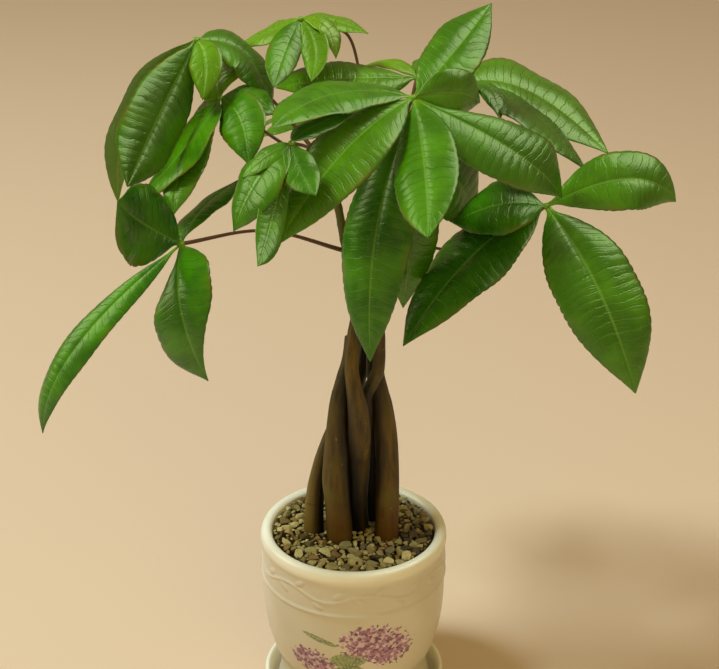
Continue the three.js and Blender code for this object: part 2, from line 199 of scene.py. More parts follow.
# The leaves: the shoot and the points of its stalk, the hub where its leaflets meet, and each
# leaflet as (tip offset x, y, z, width, arch, sideways bow, roll in degrees, how young it is, 0 to 1).
# Two more numbers say how far along it bends most, and how far its two halves are shifted apart.
LEAVES = {
    "leaf_front": ("shoot_right", [(21, 9, 368), (27, -4, 398)], (34, -20, 415), [
        (47, 58, 40, 34, 4, 3, 20, 0.1, 0.37, 0.07), (-77, -46, -4, 37, 3, 17, -11, 0.1),
        (-74, -62, -64, 41, 10, 3, -18, 0.2, 0.45, 0), (6, -79, -54, 37, -1, -2, 24, 0.1, 0.54, -0.04),
        (87, 3, -61, 41, 18, 3, 49, 0.1, 0.68, 0.15), (39, 21, -9, 27, 12, -5, 81, 0.15),
    ]),
    "leaf_front_behind": ("shoot_right", [(22, 10, 374), (33, 24, 396)], (38, 36, 411), [
        (-84, -4, -5, 32, 4, 0, -32, 0.3, 0.59, -0.11), (-33, 24, 0, 15, 6, 2, -7, 0.7),
        (30, 48, -6, 28, 8, 0, 0, 0.1),
    ]),
    "leaf_hanging": ("shoot_right", [(19, 3, 340), (27, -2, 374)], (30, -8, 394), [
        (-20, -50, -125, 42, 12, 3, 4, 0, 0.44, -0.02), (0, -2, -112, 35, 11, -2, -6, 0.1),
        (45, 31, -70, 48, 9, -1, 73, 0.1),
    ]),
    "leaf_right": ("shoot_right", [(17, -2, 308), (36, 14, 312), (66, 10, 312), (97, 2, 333)],
                   (113, -10, 347), [
        (77, 7, 0, 36, 16, -10, 54, 0.15, 0.7, 0), (52, -47, -99, 49, 16, -3, 38, 0.1, 0.45, 0.03),
        (-84, -46, -69, 50, 2, 11, -8, 0, 0.35, 0), (-54, 6, -13, 42, 9, -1, -26, 0),
    ]),
    "leaf_right_back": ("shoot_right", [(22, 10, 374), (46, 34, 396)], (69, 45, 406), [
        (85, -15, -40, 54, 2, -18, 19, 0.25, 0.3, -0.02), (70, -33, -45, 46, 8, 1, -6, 0.1),
        (17, -35, -13, 15, 7, -3, -8, 0.1),
    ]),
    "leaf_left_top": ("shoot_left", [(-20, 12, 370), (-55, 50, 400), (-82, 48, 424)], (-91, 24, 437), [
        (-34, -75, -64, 39, -2, 0, -64, 0.1, 0.63, -0.02),
        (-50, -11, -96, 41, 14, -11, 38, 0.9, 0.41, 0.03), (42, -7, -40, 40, 9, -12, 6, 0.1),
        (5, -28, -28, 20, 4, -5, 23, 0.4),
    ]),
    "leaf_left": ("shoot_left", [(-16, 9, 362), (-50, 12, 384)], (-77, 11, 406), [
        (-25, -43, -56, 29, 0, 8, 3, 0.15, 0.57, 0.03), (18, -39, -28, 29, 4, -7, 40, 0.05),
        (33, -13, -6, 26, 4, -1, 26, 0.1), (-19, 20, -18, 14, 1, 2, -50, 0.3),
        (3, 28, 20, 30, 1, -4, -32, 0.5), (-48, -17, -56, 36, 2, -9, -3, 0.1),
    ]),
    "leaf_top": ("shoot_back", [(6, 43, 366), (3, 66, 410), (-4, 67, 430), (-20, 53, 437)],
                 (-31, 42, 445), [
        (40, -3, -8, 16, 0, -5, 19, 0.6), (-35, 18, -18, 21, 1, -3, -26, 0.6),
        (-14, -45, -29, 19, -3, 2, -25, 0.1), (7, -37, -28, 17, -2, -5, 26, 0.4),
        (21, -15, -20, 14, 7, -5, 9, 0.7),
    ]),
    "leaf_left_front": ("shoot_left", [(-14, 8, 355), (-24, -20, 384)], (-33, -60, 401), [
        (-32, -13, -46, 35, 6, 0, -15, 0.1), (-17, -49, -52, 17, -7, -2, -33, 0.15, 0.64, 0.12),
        (14, -31, -19, 20, 0, 2, 21, 0.05), (-27, -3, -19, 15, 3, 0, -23, 0.15),
        (35, 27, 10, 17, 0, -5, 11, 0),
    ]),
    "leaf_left_low": ("shoot_left", [(-4, -1, 315), (-52, -14, 333)], (-99, -30, 331), [
        (-29, -40, 40, 51, -6, 1, -72, 0, 0.41, 0.11), (-85, -24, -111, 22, 16, 5, -33, 0, 0.7, -0.07),
        (16, -39, -69, 41, 19, -2, 43, 0, 0.47, -0.2), (33, 37, 27, 26, 3, -5, -13, 0, 0.41, -0.14),
    ]),
    "leaf_back_left": ("shoot_back", [(8, 34, 335), (-4, 66, 352)], (-12, 96, 362), [
        (-58, 40, -18, 36, 12, 4, 0, 0.1), (-20, 84, -26, 38, 14, 0, 0, 0.1),
        (42, 74, -30, 36, 12, -4, 0, 0.1), (-46, -20, 0, 28, 8, 0, 0, 0.2),
    ]),
    "leaf_back_right": ("shoot_back", [(8, 37, 344), (30, 60, 350)], (58, 88, 356), [
        (22, 82, -26, 38, 14, 0, 0, 0.1), (70, 42, -22, 38, 12, 0, 0, 0.1),
        (64, -20, -10, 34, 10, 0, 0, 0.2),
    ]),
}

BEND_PLACE = 0.42  # how far along its reach a leaflet bends most
LEAFLET_VALUES = "x y z width arch bow roll young bend_place skew"
Leaflet = namedtuple("Leaflet", LEAFLET_VALUES, defaults=(BEND_PLACE, 0))

# Half-width of a leaflet, as a share of its greatest, from its stalk (0) to its tip (1).
OUTLINE = [
    (0, 0.07), (0.04, 0.1), (0.1, 0.36), (0.2, 0.68), (0.33, 0.92), (0.48, 1),
    (0.63, 0.96), (0.77, 0.76), (0.88, 0.46), (0.95, 0.2), (1, 0.015),
]
OUTLINE_LIMITS = (0.012, 1.02)
FIRST_LEAF_SEED = 2.3
LEAF_SEED_STEP = 7.1
LEAFLET_SEED_STEP = 1.37
SHADE_STEP = 0.37
FACE_LEAN = 0.6  # how far a blade's face leans outward from straight up
GROOVE = 0.22  # how steeply a half rises from the midrib
CURL = 0.34  # how far its outer edge turns down again
WAVE = 0.05
WAVES = 2.5
BLADE_THICKNESS = 0.5
BLADE_EDGE = 0.25  # the share of its thickness that is left at its edge
BLADE_STEP = 1.25
BLADE_ROWS = (34, 110)  # the fewest and the most
BLADE_ACROSS = 22
BROAD = 34  # the width from which a blade has its relief in full
VEIN_SPACING = 5.4
VEIN_SLANT = 0.8  # how far a vein runs on towards the tip, in vein spacings
VEIN_CURVE = 1.4
VEIN_WANDER = 0.8  # how far it strays, in vein spacings
VEIN_NOISE = (5.5, 1.1)  # how quickly its straying changes along a blade and across it
SCALLOP = 0.03  # how far the edge swings out between two veins, as a share of the half-width
PUFF = 0.32  # how far the blade puffs up between two veins of a broad leaflet
PUFF_LEVEL = 0.7  # the share of a puff that stays below the blade's even surface
PUFF_CHANGE = 1.2  # how much more some puffs rise than others
PUFF_NOISE = (6, 3)
PUFF_INSIDE = 0.16  # how far out from the midrib the puffs reach their full height
PUFF_OUTSIDE = 0.25  # and how far in from the edge
CRINKLE = 1.1  # height of a blade's broad unevenness
CRINKLE_NOISE = (3, 1.5)
MIDRIB_DEPTH = 0.3
MIDRIB_WIDTH = 0.05  # its half-width, as a share of the blade's
RIB_HEIGHT = 0.8
RIB_WIDTH = 0.07
FRESH_BASE = 0.09  # the share of its length over which a leaflet starts pale
FRESHNESS = 0.9  # how pale it is there


# ---- Meshes ----

PATH_STEPS = 24  # between two points of a path


def add_mesh(name, points, faces, material, uvs=None, kinds=None, smooth=True):
    """An object from points in millimetres. uvs and kinds hold a row for each point."""
    mesh = bpy.data.meshes.new(name)
    mesh.from_pydata((np.asarray(points) * MM).tolist(), [], faces)
    mesh.polygons.foreach_set("use_smooth", [smooth] * len(mesh.polygons))
    if uvs is not None:
        corners = np.zeros(len(mesh.loops), int)
        mesh.loops.foreach_get("vertex_index", corners)
        layer = mesh.uv_layers.new(name="UVMap")
        layer.data.foreach_set("uv", uvs[corners].ravel())
    if kinds is not None:
        attribute = mesh.attributes.new("kind", "FLOAT_COLOR", "POINT")
        colours = np.c_[kinds, np.ones(len(kinds))]
        attribute.data.foreach_set("color", colours.astype(np.float32).ravel())
    mesh.materials.append(material)
    mesh.validate()
    obj = bpy.data.objects.new(name, mesh)
    bpy.context.scene.collection.objects.link(obj)
    return obj


def skin_faces(rings, sides):
    """Quads between rings of as many points each, and a face over each end."""
    faces = []
    for ring in range(rings - 1):
        for side in range(sides):
            a = ring * sides + side
            b = ring * sides + (side + 1) % sides
            faces.append((a, b, b + sides, a + sides))
    faces.append(tuple(reversed(range(sides))))
    faces.append(tuple(range((rings - 1) * sides, rings * sides)))
    return faces


class Pile:
    """Points and faces of several bodies that make one mesh, with a kind and a uv for each point."""

    def __init__(self):
        self.points = []
        self.faces = []
        self.kinds = []
        self.uvs = []

    def add_body(self, points, faces, kinds=(0, 0, 0), uvs=(0.5, 0.5)):
        """kinds and uvs hold a row for each point, or one row for all of them."""
        start = sum(map(len, self.points))
        self.points.append(points)
        self.faces += [tuple(start + index for index in face) for face in faces]
        self.kinds.append(np.broadcast_to(kinds, (len(points), 3)))
        self.uvs.append(np.broadcast_to(uvs, (len(points), 2)))

    def add_skin(self, rings, **marks):
        """A closed skin over rings of as many points each."""
        self.add_body(rings.reshape(-1, 3), skin_faces(*rings.shape[:2]), **marks)

    def add_ball(self, centre, radii, kind, detail, lumps):
        """A lumpy ball. lumps is the share of its radius by which it is uneven."""
        corners, faces = ball(detail)
        uneven = [1 + lumps * noise.noise(Vector(corner * BALL_LUMPS) + Vector(centre))
                  for corner in corners]
        self.add_body(corners * np.array(uneven)[:, None] * radii + centre, faces, kind)

    def build(self, name, material, smooth=True):
        points = np.vstack(self.points)
        kinds = np.vstack(self.kinds)
        return add_mesh(name, points, self.faces, material, np.vstack(self.uvs), kinds, smooth)


@functools.cache
def ball(detail):
    """Corners and faces of a round ball of radius 1."""
    shape = bmesh.new()
    bmesh.ops.create_icosphere(shape, subdivisions=detail, radius=1)
    corners = np.array([vertex.co for vertex in shape.verts])
    faces = [tuple(vertex.index for vertex in face.verts) for face in shape.faces]
    shape.free()
    return corners, faces


def unit(vectors):
    return vectors / np.linalg.norm(vectors, axis=-1, keepdims=True)


def path_piece(points, knots):
    """Places on a Catmull-Rom curve from the second of four points to the third."""
    p0, p1, p2, p3 = points
    t0, t1, t2, t3 = knots
    t = np.linspace(t1, t2, PATH_STEPS, endpoint=False)[:, None]
    a1 = (t1 - t) / (t1 - t0) * p0 + (t - t0) / (t1 - t0) * p1
    a2 = (t2 - t) / (t2 - t1) * p1 + (t - t1) / (t2 - t1) * p2
    a3 = (t3 - t) / (t3 - t2) * p2 + (t - t2) / (t3 - t2) * p3
    b1 = (t2 - t) / (t2 - t0) * a1 + (t - t0) / (t2 - t0) * a2
    b2 = (t3 - t) / (t3 - t1) * a2 + (t - t1) / (t3 - t1) * a3
    return (t2 - t) / (t2 - t1) * b1 + (t - t1) / (t2 - t1) * b2


def smooth_path(points, count):
    """count places, evenly spaced, along a smooth curve through the points."""
    points = np.asarray(points, float)
    padded = np.vstack([2 * points[0] - points[1], points, 2 * points[-1] - points[-2]])
    gaps = np.linalg.norm(np.diff(padded[:, :3], axis=0), axis=1) ** 0.5
    knots = np.concatenate([[0], np.cumsum(gaps)])
    pieces = [path_piece(padded[k:k + 4], knots[k:k + 4]) for k in range(len(points) - 1)]
    fine = np.vstack(pieces + [points[-1:]])
    run = np.concatenate([[0], np.cumsum(np.linalg.norm(np.diff(fine[:, :3], axis=0), axis=1))])
    places = np.linspace(0, run[-1], count)
    return np.stack([np.interp(places, run, column) for column in fine.T], axis=1)


def smooth_profile(profile, count):
    """count (radius, z) pairs along a smooth curve through those of a profile."""
    path = smooth_path([(radius, z, 0) for radius, z in profile], count)
    return [(radius, z) for radius, z, _ in path]


def limb(points, sides, step, swell=lambda run, angle: 0):
    """Rings of a round limb along points of (x, y, z, radius). swell(run, angle) adds to the radius."""
    length = np.linalg.norm(np.diff(np.asarray(points)[:, :3], axis=0), axis=1).sum()
    path = smooth_path(points, max(4, round(length / step)))
    centres = path[:, :3]
    tangents = unit(np.gradient(centres, axis=0))
    across = unit(np.cross(tangents[0], (0, 1, 0.1)))
    angles = np.linspace(0, TURN, sides, endpoint=False)
    runs = np.concatenate([[0], np.cumsum(np.linalg.norm(np.diff(centres, axis=0), axis=1))])
    rings = []
    for centre, tangent, radius, run in zip(centres, tangents, path[:, 3], runs):
        across = unit(across - tangent * across.dot(tangent))
        over = np.cross(tangent, across)
        reach = radius + np.array([swell(run, angle) for angle in angles])
        around = np.cos(angles)[:, None] * across + np.sin(angles)[:, None] * over
        rings.append(centre + reach[:, None] * around)
    return np.array(rings)


def turned(profile, columns, shape=lambda angles, z: 0):
    """Rings of a round body from (radius, z) pairs. shape(angles, z) adds to the radius."""
    angles = np.linspace(0, TURN, columns, endpoint=False)
    rings = []
    for radius, z in profile:
        reach = radius + shape(angles, z)
        rings.append(np.c_[reach * np.sin(angles), -reach * np.cos(angles), np.full(columns, z)])
    return np.array(rings)


# ---- Materials ----

def rgb(red, green, blue):
    """A linear colour from display values of 0 to 255."""
    return tuple((channel / 255) ** 2.2 for channel in (red, green, blue)) + (1,)


LEAF_DEEP = rgb(42, 93, 0)
LEAF_BRIGHT = rgb(66, 124, 4)
LEAF_SHADED = rgb(42, 88, 0)
LEAF_YOUNG = rgb(114, 154, 6)
# painted shade in the creases of the side veins, and their paler lines, partly the veins' own colour and
# partly painted highlight
LEAF_CREASE_SHADE = rgb(12, 36, 0)
LEAF_PALE_VEIN_GLINT = rgb(100, 142, 52)
LEAF_MIDRIB = rgb(118, 160, 60)
LEAF_OLIVE_EDGE = rgb(96, 84, 14)
LEAF_BROWN_RIM = rgb(88, 54, 18)
LEAF_UNDERSIDE = rgb(124, 172, 74)
LEAF_UNDER_MIDRIB = rgb(160, 190, 100)

BARK_DARK = rgb(60, 45, 6)
BARK_PALE = rgb(102, 80, 16)
BARK_BLOTCH = rgb(94, 84, 22)
BARK_FOOT = rgb(98, 56, 14)
# painted light: the bark is paler on the left, the side that the light falls on
BARK_LEFT_LIGHT = rgb(122, 100, 42)
BARK_SCAR = rgb(46, 30, 10)
BARK_SPECK = rgb(160, 144, 104)
# painted shade where the bark is near another stem
BARK_CREVICE_SHADE = rgb(16, 12, 4)
BARK_FOOT_Z = (0.165, 0.125)
# x in metres over which the painted light on the left comes in
BARK_LEFT_LIGHT_X = (-0.015, -0.028)
# heights in metres below which that painted shade between the stems is deeper
BARK_SHADE_DEEPER_Z = (0.185, 0.135)
SHOOT_GREEN = rgb(78, 84, 30)
SHOOT_TAN = rgb(104, 96, 44)
STALK_RED = rgb(92, 62, 36)

STONE_DULL = rgb(140, 125, 66)
STONE_PALE = rgb(208, 191, 124)
STONE_BROWN = rgb(128, 92, 42)
STONE_DARK = rgb(52, 38, 20)
STONE_GRAIN = rgb(96, 86, 52)
SOIL_DARK = rgb(34, 22, 12)
SOIL_PALE = rgb(78, 56, 34)

GLAZE_DULL = rgb(206, 195, 168)
GLAZE_CREAM = rgb(220, 210, 185)
# painted light on the top of the rim
GLAZE_RIM_LIGHT = rgb(240, 233, 206)
PETAL_DEEP = rgb(104, 54, 86)
PETAL_LILAC = rgb(176, 122, 152)
PETAL_PALE = rgb(226, 200, 192)
PETAL_HEART = rgb(206, 170, 170)
SPRAY_DARK = rgb(92, 108, 52)
SPRAY_PALE = rgb(150, 164, 96)

FLOOR_PALE = rgb(219, 190, 158)


class Paint:
    """A material's nodes, built by short calls. A value is a number, a colour or a node's output."""

    def __init__(self, name):
        self.material = bpy.data.materials.new(name)
        self.material.use_nodes = True
        self.tree = self.material.node_tree
        self.shader = self.tree.nodes["Principled BSDF"]

    def set(self, **sockets):
        for name, value in sockets.items():
            self.feed(self.shader.inputs[name.replace("_", " ")], value)

    def feed(self, socket, value):
        if isinstance(value, bpy.types.NodeSocket):
            self.tree.links.new(value, socket)
        else:
            socket.default_value = value

    def node(self, kind, settings, **inputs):
        node = self.tree.nodes.new("ShaderNode" + kind)
        for name, value in settings.items():
            setattr(node, name, value)
        for name, value in inputs.items():
            self.feed(node.inputs[name.replace("_", " ")], value)
        return node

    def split(self, vector):
        return self.node("SeparateXYZ", {}, Vector=vector).outputs

    def kinds(self):
        """The three numbers that each point of the mesh carries."""
        return self.split(self.node("Attribute", {"attribute_name": "kind"}).outputs["Color"])

    def math(self, operation, *values):
        node = self.node("Math", {"operation": operation})
        for socket, value in zip(node.inputs, values):
            self.feed(socket, value)
        return node.outputs[0]

    def step(self, value, low, high):
        """0 at low, 1 at high, smooth between them."""
        node = self.node(
            "MapRange", {"interpolation_type": "SMOOTHSTEP"}, Value=value, From_Min=low, From_Max=high
        )
        return node.outputs[0]

    def crease(self, count, low):
        """1 where a count passes a whole number, down to 0 where its distance from a half is low."""
        from_half = self.math("ABSOLUTE", self.math("SUBTRACT", self.math("FRACT", count), 0.5))
        return self.step(from_half, low, 0.5)

    def mix(self, share, first, second):
        return self.node("MixRGB", {}, Fac=share, Color1=first, Color2=second).outputs[0]

    def tint(self, colour, other, mask, strength):
        """The colour, turned towards another by strength where the mask is 1."""
        return self.mix(self.math("MULTIPLY", mask, strength), colour, other)

    def place(self, scale=(1, 1, 1)):
        coordinates = self.node("TexCoord", {}).outputs["Object"]
        return self.node("Mapping", {}, Vector=coordinates, Scale=scale).outputs[0]

    def noise(self, scale, place=None, detail=3, roughness=0.5):
        node = self.node(
            "TexNoise", {}, Vector=place or self.place(), Scale=scale, Detail=detail, Roughness=roughness
        )
        return node.outputs["Fac"]

    def oval(self, place, x, z, half_length, half_width, turn):
        """How far a place is from the centre of an oval seen from the front: 1 on its edge."""
        inside = self.node(
            "Mapping", {"vector_type": "TEXTURE"}, Vector=place, Location=(x * MM, 0, z * MM),
            Rotation=(0, math.radians(turn), 0), Scale=(half_length * MM, 1000, half_width * MM),
        )
        return self.node("VectorMath", {"operation": "LENGTH"}, Vector=inside.outputs[0]).outputs["Value"]

    def bump(self, height, strength, distance):
        return self.node("Bump", {}, Height=height, Strength=strength, Distance=distance).outputs[0]


def leaf_creases(paint, veins, out):
    """How deep in the crease of a side vein, or of one of the finer veins between, a place lies."""
    ripples = paint.noise(150, detail=2)
    wavy = paint.math("ADD", veins, paint.math("MULTIPLY_ADD", ripples, 0.7, -0.35))
    fine = paint.math("MULTIPLY", paint.crease(paint.math("MULTIPLY", wavy, 3), 0.34), 0.4)
    fine = paint.math("MULTIPLY", fine, paint.step(ripples, 0.45, 0.55))
    both = paint.math("MAXIMUM", paint.crease(wavy, 0.42), fine)
    return paint.math("MULTIPLY", both, paint.step(out, 1.0, 0.7))


def leaf_green(paint, patches, young, shade):
    """The green of the upper face, in patches."""
    green = paint.mix(paint.step(patches, 0.38, 0.64), LEAF_DEEP, LEAF_BRIGHT)
    green = paint.tint(green, LEAF_SHADED, shade, 0.4)
    return paint.mix(young, green, LEAF_YOUNG)


def leaf_lines(paint, green, crease, out):
    """The green with painted shade in the side veins' creases in some patches, and in others paler lines,
    partly the veins' own colour and partly painted highlight; and a pale midrib.
    """
    # Painted shade in the creases in some patches; in others paler lines, partly the veins' own colour and
    # partly painted highlight.
    line = paint.mix(paint.step(paint.noise(28, detail=2), 0.42, 0.58), LEAF_CREASE_SHADE, LEAF_PALE_VEIN_GLINT)
    green = paint.tint(green, line, crease, 0.3)
    return paint.tint(green, LEAF_MIDRIB, paint.step(out, 0.05, 0.015), 0.4)


def leaf_edges(paint, green, patches, out):
    """The green with an olive tinge near the blade's edge and a thin brown rim, both in patches."""
    olive = paint.math("MULTIPLY", paint.step(out, 0.72, 1.0), paint.step(patches, 0.45, 0.65))
    green = paint.tint(green, LEAF_OLIVE_EDGE, olive, 0.5)
    rim = paint.math("MULTIPLY", paint.step(out, 0.965, 1.0), paint.step(patches, 0.3, 0.6))
    return paint.tint(green, LEAF_BROWN_RIM, rim, 0.8)


def leaf_paint():
    """Glossy green with creased side veins. kind holds: underside, how young, a random shade."""
    paint = Paint("leaf_blade")
    under, young, shade = paint.kinds()
    veins, across = paint.split(paint.node("UVMap", {"uv_map": "UVMap"}).outputs[0])[:2]
    out = paint.math("ABSOLUTE", paint.math("MULTIPLY_ADD", across, 2, -1))
    crease = leaf_creases(paint, veins, out)
    patches = paint.noise(45)
    green = leaf_green(paint, patches, young, shade)
    green = leaf_lines(paint, green, crease, out)
    green = leaf_edges(paint, green, patches, out)
    pale = paint.mix(0.6, green, LEAF_UNDERSIDE)
    pale = paint.tint(pale, LEAF_UNDER_MIDRIB, paint.step(out, 0.1, 0.04), 0.7)
    wrinkles = paint.math("MULTIPLY", paint.noise(330, roughness=0.6), 0.6)
    height = paint.math("MULTIPLY_ADD", crease, -0.8, wrinkles)
    dullness = paint.math("MULTIPLY_ADD", under, 0.25, 0.22)
    paint.set(Base_Color=paint.mix(under, green, pale), Normal=paint.bump(height, 0.42, 0.0005))
    paint.set(Roughness=paint.math("MULTIPLY_ADD", patches, 0.14, dullness))
    paint.set(Specular_Tint=(0.85, 1, 0.7, 1), Specular_IOR_Level=0.75)
    return paint.material


def bark_paint():
    """Olive-brown bark with lengthwise streaks, with painted light that makes its left paler and painted
    shade where another stem is near, deeper lower down. kind holds how near another stem is.
    """
    paint = Paint("bark")
    near = paint.kinds()[0]
    x, _, height = paint.split(paint.place())
    streaks = paint.noise(9, paint.place((26, 26, 3)), 5, 0.6)
    brown = paint.mix(paint.step(streaks, 0.3, 0.7), BARK_DARK, BARK_PALE)
    brown = paint.mix(paint.step(paint.noise(38), 0.5, 0.75), brown, BARK_BLOTCH)
    brown = paint.tint(brown, BARK_FOOT, paint.step(height, *BARK_FOOT_Z), 0.5)
    # Painted light: paler towards the left.
    brown = paint.tint(brown, BARK_LEFT_LIGHT, paint.step(x, *BARK_LEFT_LIGHT_X), 0.7)
    scars = paint.step(paint.noise(60, paint.place((1, 1, 4)), 2), 0.68, 0.74)
    brown = paint.tint(brown, BARK_SCAR, scars, 0.6)
    specks = paint.step(paint.noise(230, detail=1), 0.74, 0.8)
    brown = paint.tint(brown, BARK_SPECK, specks, 0.5)
    # Painted shade between the stems, deeper lower down.
    darkening = paint.math("MULTIPLY_ADD", paint.step(height, *BARK_SHADE_DEEPER_Z), 0.5, 0.8)
    brown = paint.tint(brown, BARK_CREVICE_SHADE, near, darkening)
    grain = paint.math("MULTIPLY_ADD", paint.noise(420), 0.3, streaks)
    paint.set(Base_Color=brown, Roughness=0.6, Normal=paint.bump(grain, 0.45, 0.0009))
    return paint.material


def shoot_paint():
    """Green-brown young wood, redder where kind says that it is a leaf stalk."""
    paint = Paint("shoot")
    stalk = paint.kinds()[0]
    patches = paint.noise(70, paint.place((1, 1, 0.3)))
    green = paint.mix(paint.step(patches, 0.35, 0.65), SHOOT_GREEN, SHOOT_TAN)
    paint.set(Base_Color=paint.mix(stalk, green, STALK_RED), Roughness=0.5)
    paint.set(Normal=paint.bump(patches, 0.25, 0.0006))
    return paint.material


def gravel_paint():
    """Matt stone. kind holds: how dark, how brown, a random shade."""
    paint = Paint("gravel_stone")
    dark, brown, shade = paint.kinds()
    grain = paint.noise(500, detail=4, roughness=0.65)
    stone = paint.mix(shade, STONE_DULL, STONE_PALE)
    stone = paint.mix(brown, stone, STONE_BROWN)
    stone = paint.mix(dark, stone, STONE_DARK)
    stone = paint.tint(stone, STONE_GRAIN, paint.step(grain, 0.35, 0.7), 0.35)
    paint.set(Base_Color=stone, Roughness=0.75, Normal=paint.bump(grain, 0.6, 0.0006))
    return paint.material


def soil_paint():
    """Dark brown crumbs."""
    paint = Paint("soil_crumb")
    crumbs = paint.noise(260, detail=5, roughness=0.7)
    colour = paint.mix(crumbs, SOIL_DARK, SOIL_PALE)
    paint.set(Base_Color=colour, Roughness=0.95, Normal=paint.bump(crumbs, 1.0, 0.001))
    return paint.material


def glaze_paint(name, rim, spray=False):
    """Cream glaze, cloudy, with a slightly wavy gloss, and painted light that makes it paler between the
    two heights of its rim.
    """
    paint = Paint(name)
    height = paint.split(paint.place())[2]
    colour = paint.mix(paint.step(paint.noise(14), 0.3, 0.7), GLAZE_DULL, GLAZE_CREAM)
    # Painted light: paler between the rim's two heights.
    colour = paint.mix(paint.step(height, *rim), colour, GLAZE_RIM_LIGHT)
    if spray:
        colour = flower_spray(paint, colour)
    ripple = paint.noise(55, detail=2)
    paint.set(Base_Color=colour, Roughness=0.34, Coat_Weight=0.3, Coat_Roughness=0.15)
    paint.set(Normal=paint.bump(ripple, 0.12, 0.0012))
    return paint.material


def flower_spray(paint, colour):
    """The glaze's colour with the leaves of a spray over it, and its clusters of florets over those."""
    place = paint.place()
    front = paint.step(paint.split(place)[1], *SPRAY_FRONT_Y)
    grain = paint.noise(700)
    green = paint.mix(paint.step(grain, 0.4, 0.6), SPRAY_DARK, SPRAY_PALE)
    for oval in SPRAY_LEAVES:
        ragged = paint.math("MULTIPLY_ADD", grain, 0.3, paint.oval(place, *oval))
        inside = paint.math("MULTIPLY", paint.step(ragged, 1.16, 1.02), front)
        colour = paint.tint(colour, green, inside, 0.85)
    florets = paint.node("TexVoronoi", {}, Vector=place, Scale=1 / (FLORET * MM), Randomness=0.9).outputs
    petals, spread = floret_petals(paint, florets)
    edge = paint.math("MULTIPLY_ADD", grain, 0.5, florets["Distance"])
    whole = paint.math("MAXIMUM", paint.step(edge, 1.02, 0.9), 0.6)
    for oval in BLOSSOMS:
        away = paint.math("MULTIPLY_ADD", spread, 0.4, paint.oval(florets["Position"], *oval))
        inside = paint.math("MULTIPLY", paint.step(away, 1.2, 1.18), front)
        colour = paint.tint(colour, petals, inside, whole)
    return colour


def floret_petals(paint, florets):
    """The colour of each floret, with a pale heart, and a random number for each."""
    tone, spread, pale = paint.split(florets["Color"])
    petals = paint.mix(tone, PETAL_DEEP, PETAL_LILAC)
    petals = paint.tint(petals, PETAL_PALE, paint.step(pale, 0.6, 0.8), 0.75)
    petals = paint.mix(paint.step(florets["Distance"], 0.12, 0.0), petals, PETAL_HEART)
    return petals, spread


# ---- Leaves ----

def outline_at(along):
    """The outline's smooth half-width at places along the leaflet."""
    x, y = np.array(OUTLINE).T
    slopes = np.gradient(y, x)
    k = np.clip(np.searchsorted(x, along) - 1, 0, len(x) - 2)
    gap = x[k + 1] - x[k]
    t = (along - x[k]) / gap
    smooth = (
        (2 * t**3 - 3 * t**2 + 1) * y[k] + (t**3 - 2 * t**2 + t) * gap * slopes[k]
        + (3 * t**2 - 2 * t**3) * y[k + 1] + (t**3 - t**2) * gap * slopes[k + 1]
    )
    return np.clip(smooth, *OUTLINE_LIMITS)


def noise_sheet(u, v, along, across, seed):
    """Smooth noise at each row and column of a blade."""
    return np.array([
        [noise.noise(Vector((along * float(a), across * float(b), seed))) for b in v[0]] for a in u[:, 0]
    ])


def ridge(distance, width):
    """A smooth bump of height 1 that falls away over its width."""
    return np.exp(-((distance / width) ** 2))


def leaflet_face(reach, roll):
    """Which way a leaflet's upper face looks, square to its reach."""
    chord = unit(reach)
    outward = reach * (1, 1, 0)
    face = np.array([0, 0, 1.0]) + FACE_LEAN * unit(outward)
    face = unit(face - chord * face.dot(chord))
    turn = math.radians(roll)
    return face * math.cos(turn) + np.cross(chord, face) * math.sin(turn)


def leaflet_spine(hub, leaf, u):
    """Places along a leaflet's arched midrib, and at each the ways to its side and to its face."""
    base = np.array(hub, float)
    reach = np.array([leaf.x, leaf.y, leaf.z], float)
    face = leaflet_face(reach, leaf.roll)
    sideways = np.cross(unit(reach), face)
    bend = base + leaf.bend_place * reach + 2 * leaf.arch * face + 2 * leaf.bow * sideways
    tip = base + reach
    centre = (1 - u) ** 2 * base + 2 * u * (1 - u) * bend + u**2 * tip
    tangent = unit(2 * (1 - u) * (bend - base) + 2 * u * (tip - bend))
    side = unit(np.cross(tangent, face))
    return centre[:, None, :], side[:, None, :], unit(np.cross(side, tangent))[:, None, :]


def blade_rise(u, v, half, puff, size, seed):
    """How far a blade rises from the line of its midrib: the groove, the waves and the puffs."""
    out = np.abs(v)
    full = np.sin(math.pi * u)
    rise = half * (GROOVE * out - CURL * out**2)
    rise = rise + half * WAVE * v**2 * np.sin(TURN * WAVES * u) * np.sign(v)
    room = np.clip(out / PUFF_INSIDE, 0, 1) * np.clip((1 - out) / PUFF_OUTSIDE, 0.1, 1) * full**0.4
    uneven = 1 + PUFF_CHANGE * noise_sheet(u, v, *PUFF_NOISE, seed + 20)
    rise = rise + PUFF * size * room * uneven * (puff - PUFF_LEVEL)
    rise = rise + CRINKLE * size * noise_sheet(u, v, *CRINKLE_NOISE, seed + 50) * full * out
    return rise - MIDRIB_DEPTH * size * ridge(out, MIDRIB_WIDTH)


def there_and_back(top, under):
    """Rows round a blade: across its upper face, and back across its underside."""
    return np.concatenate([top, under[:, ::-1]], axis=1)


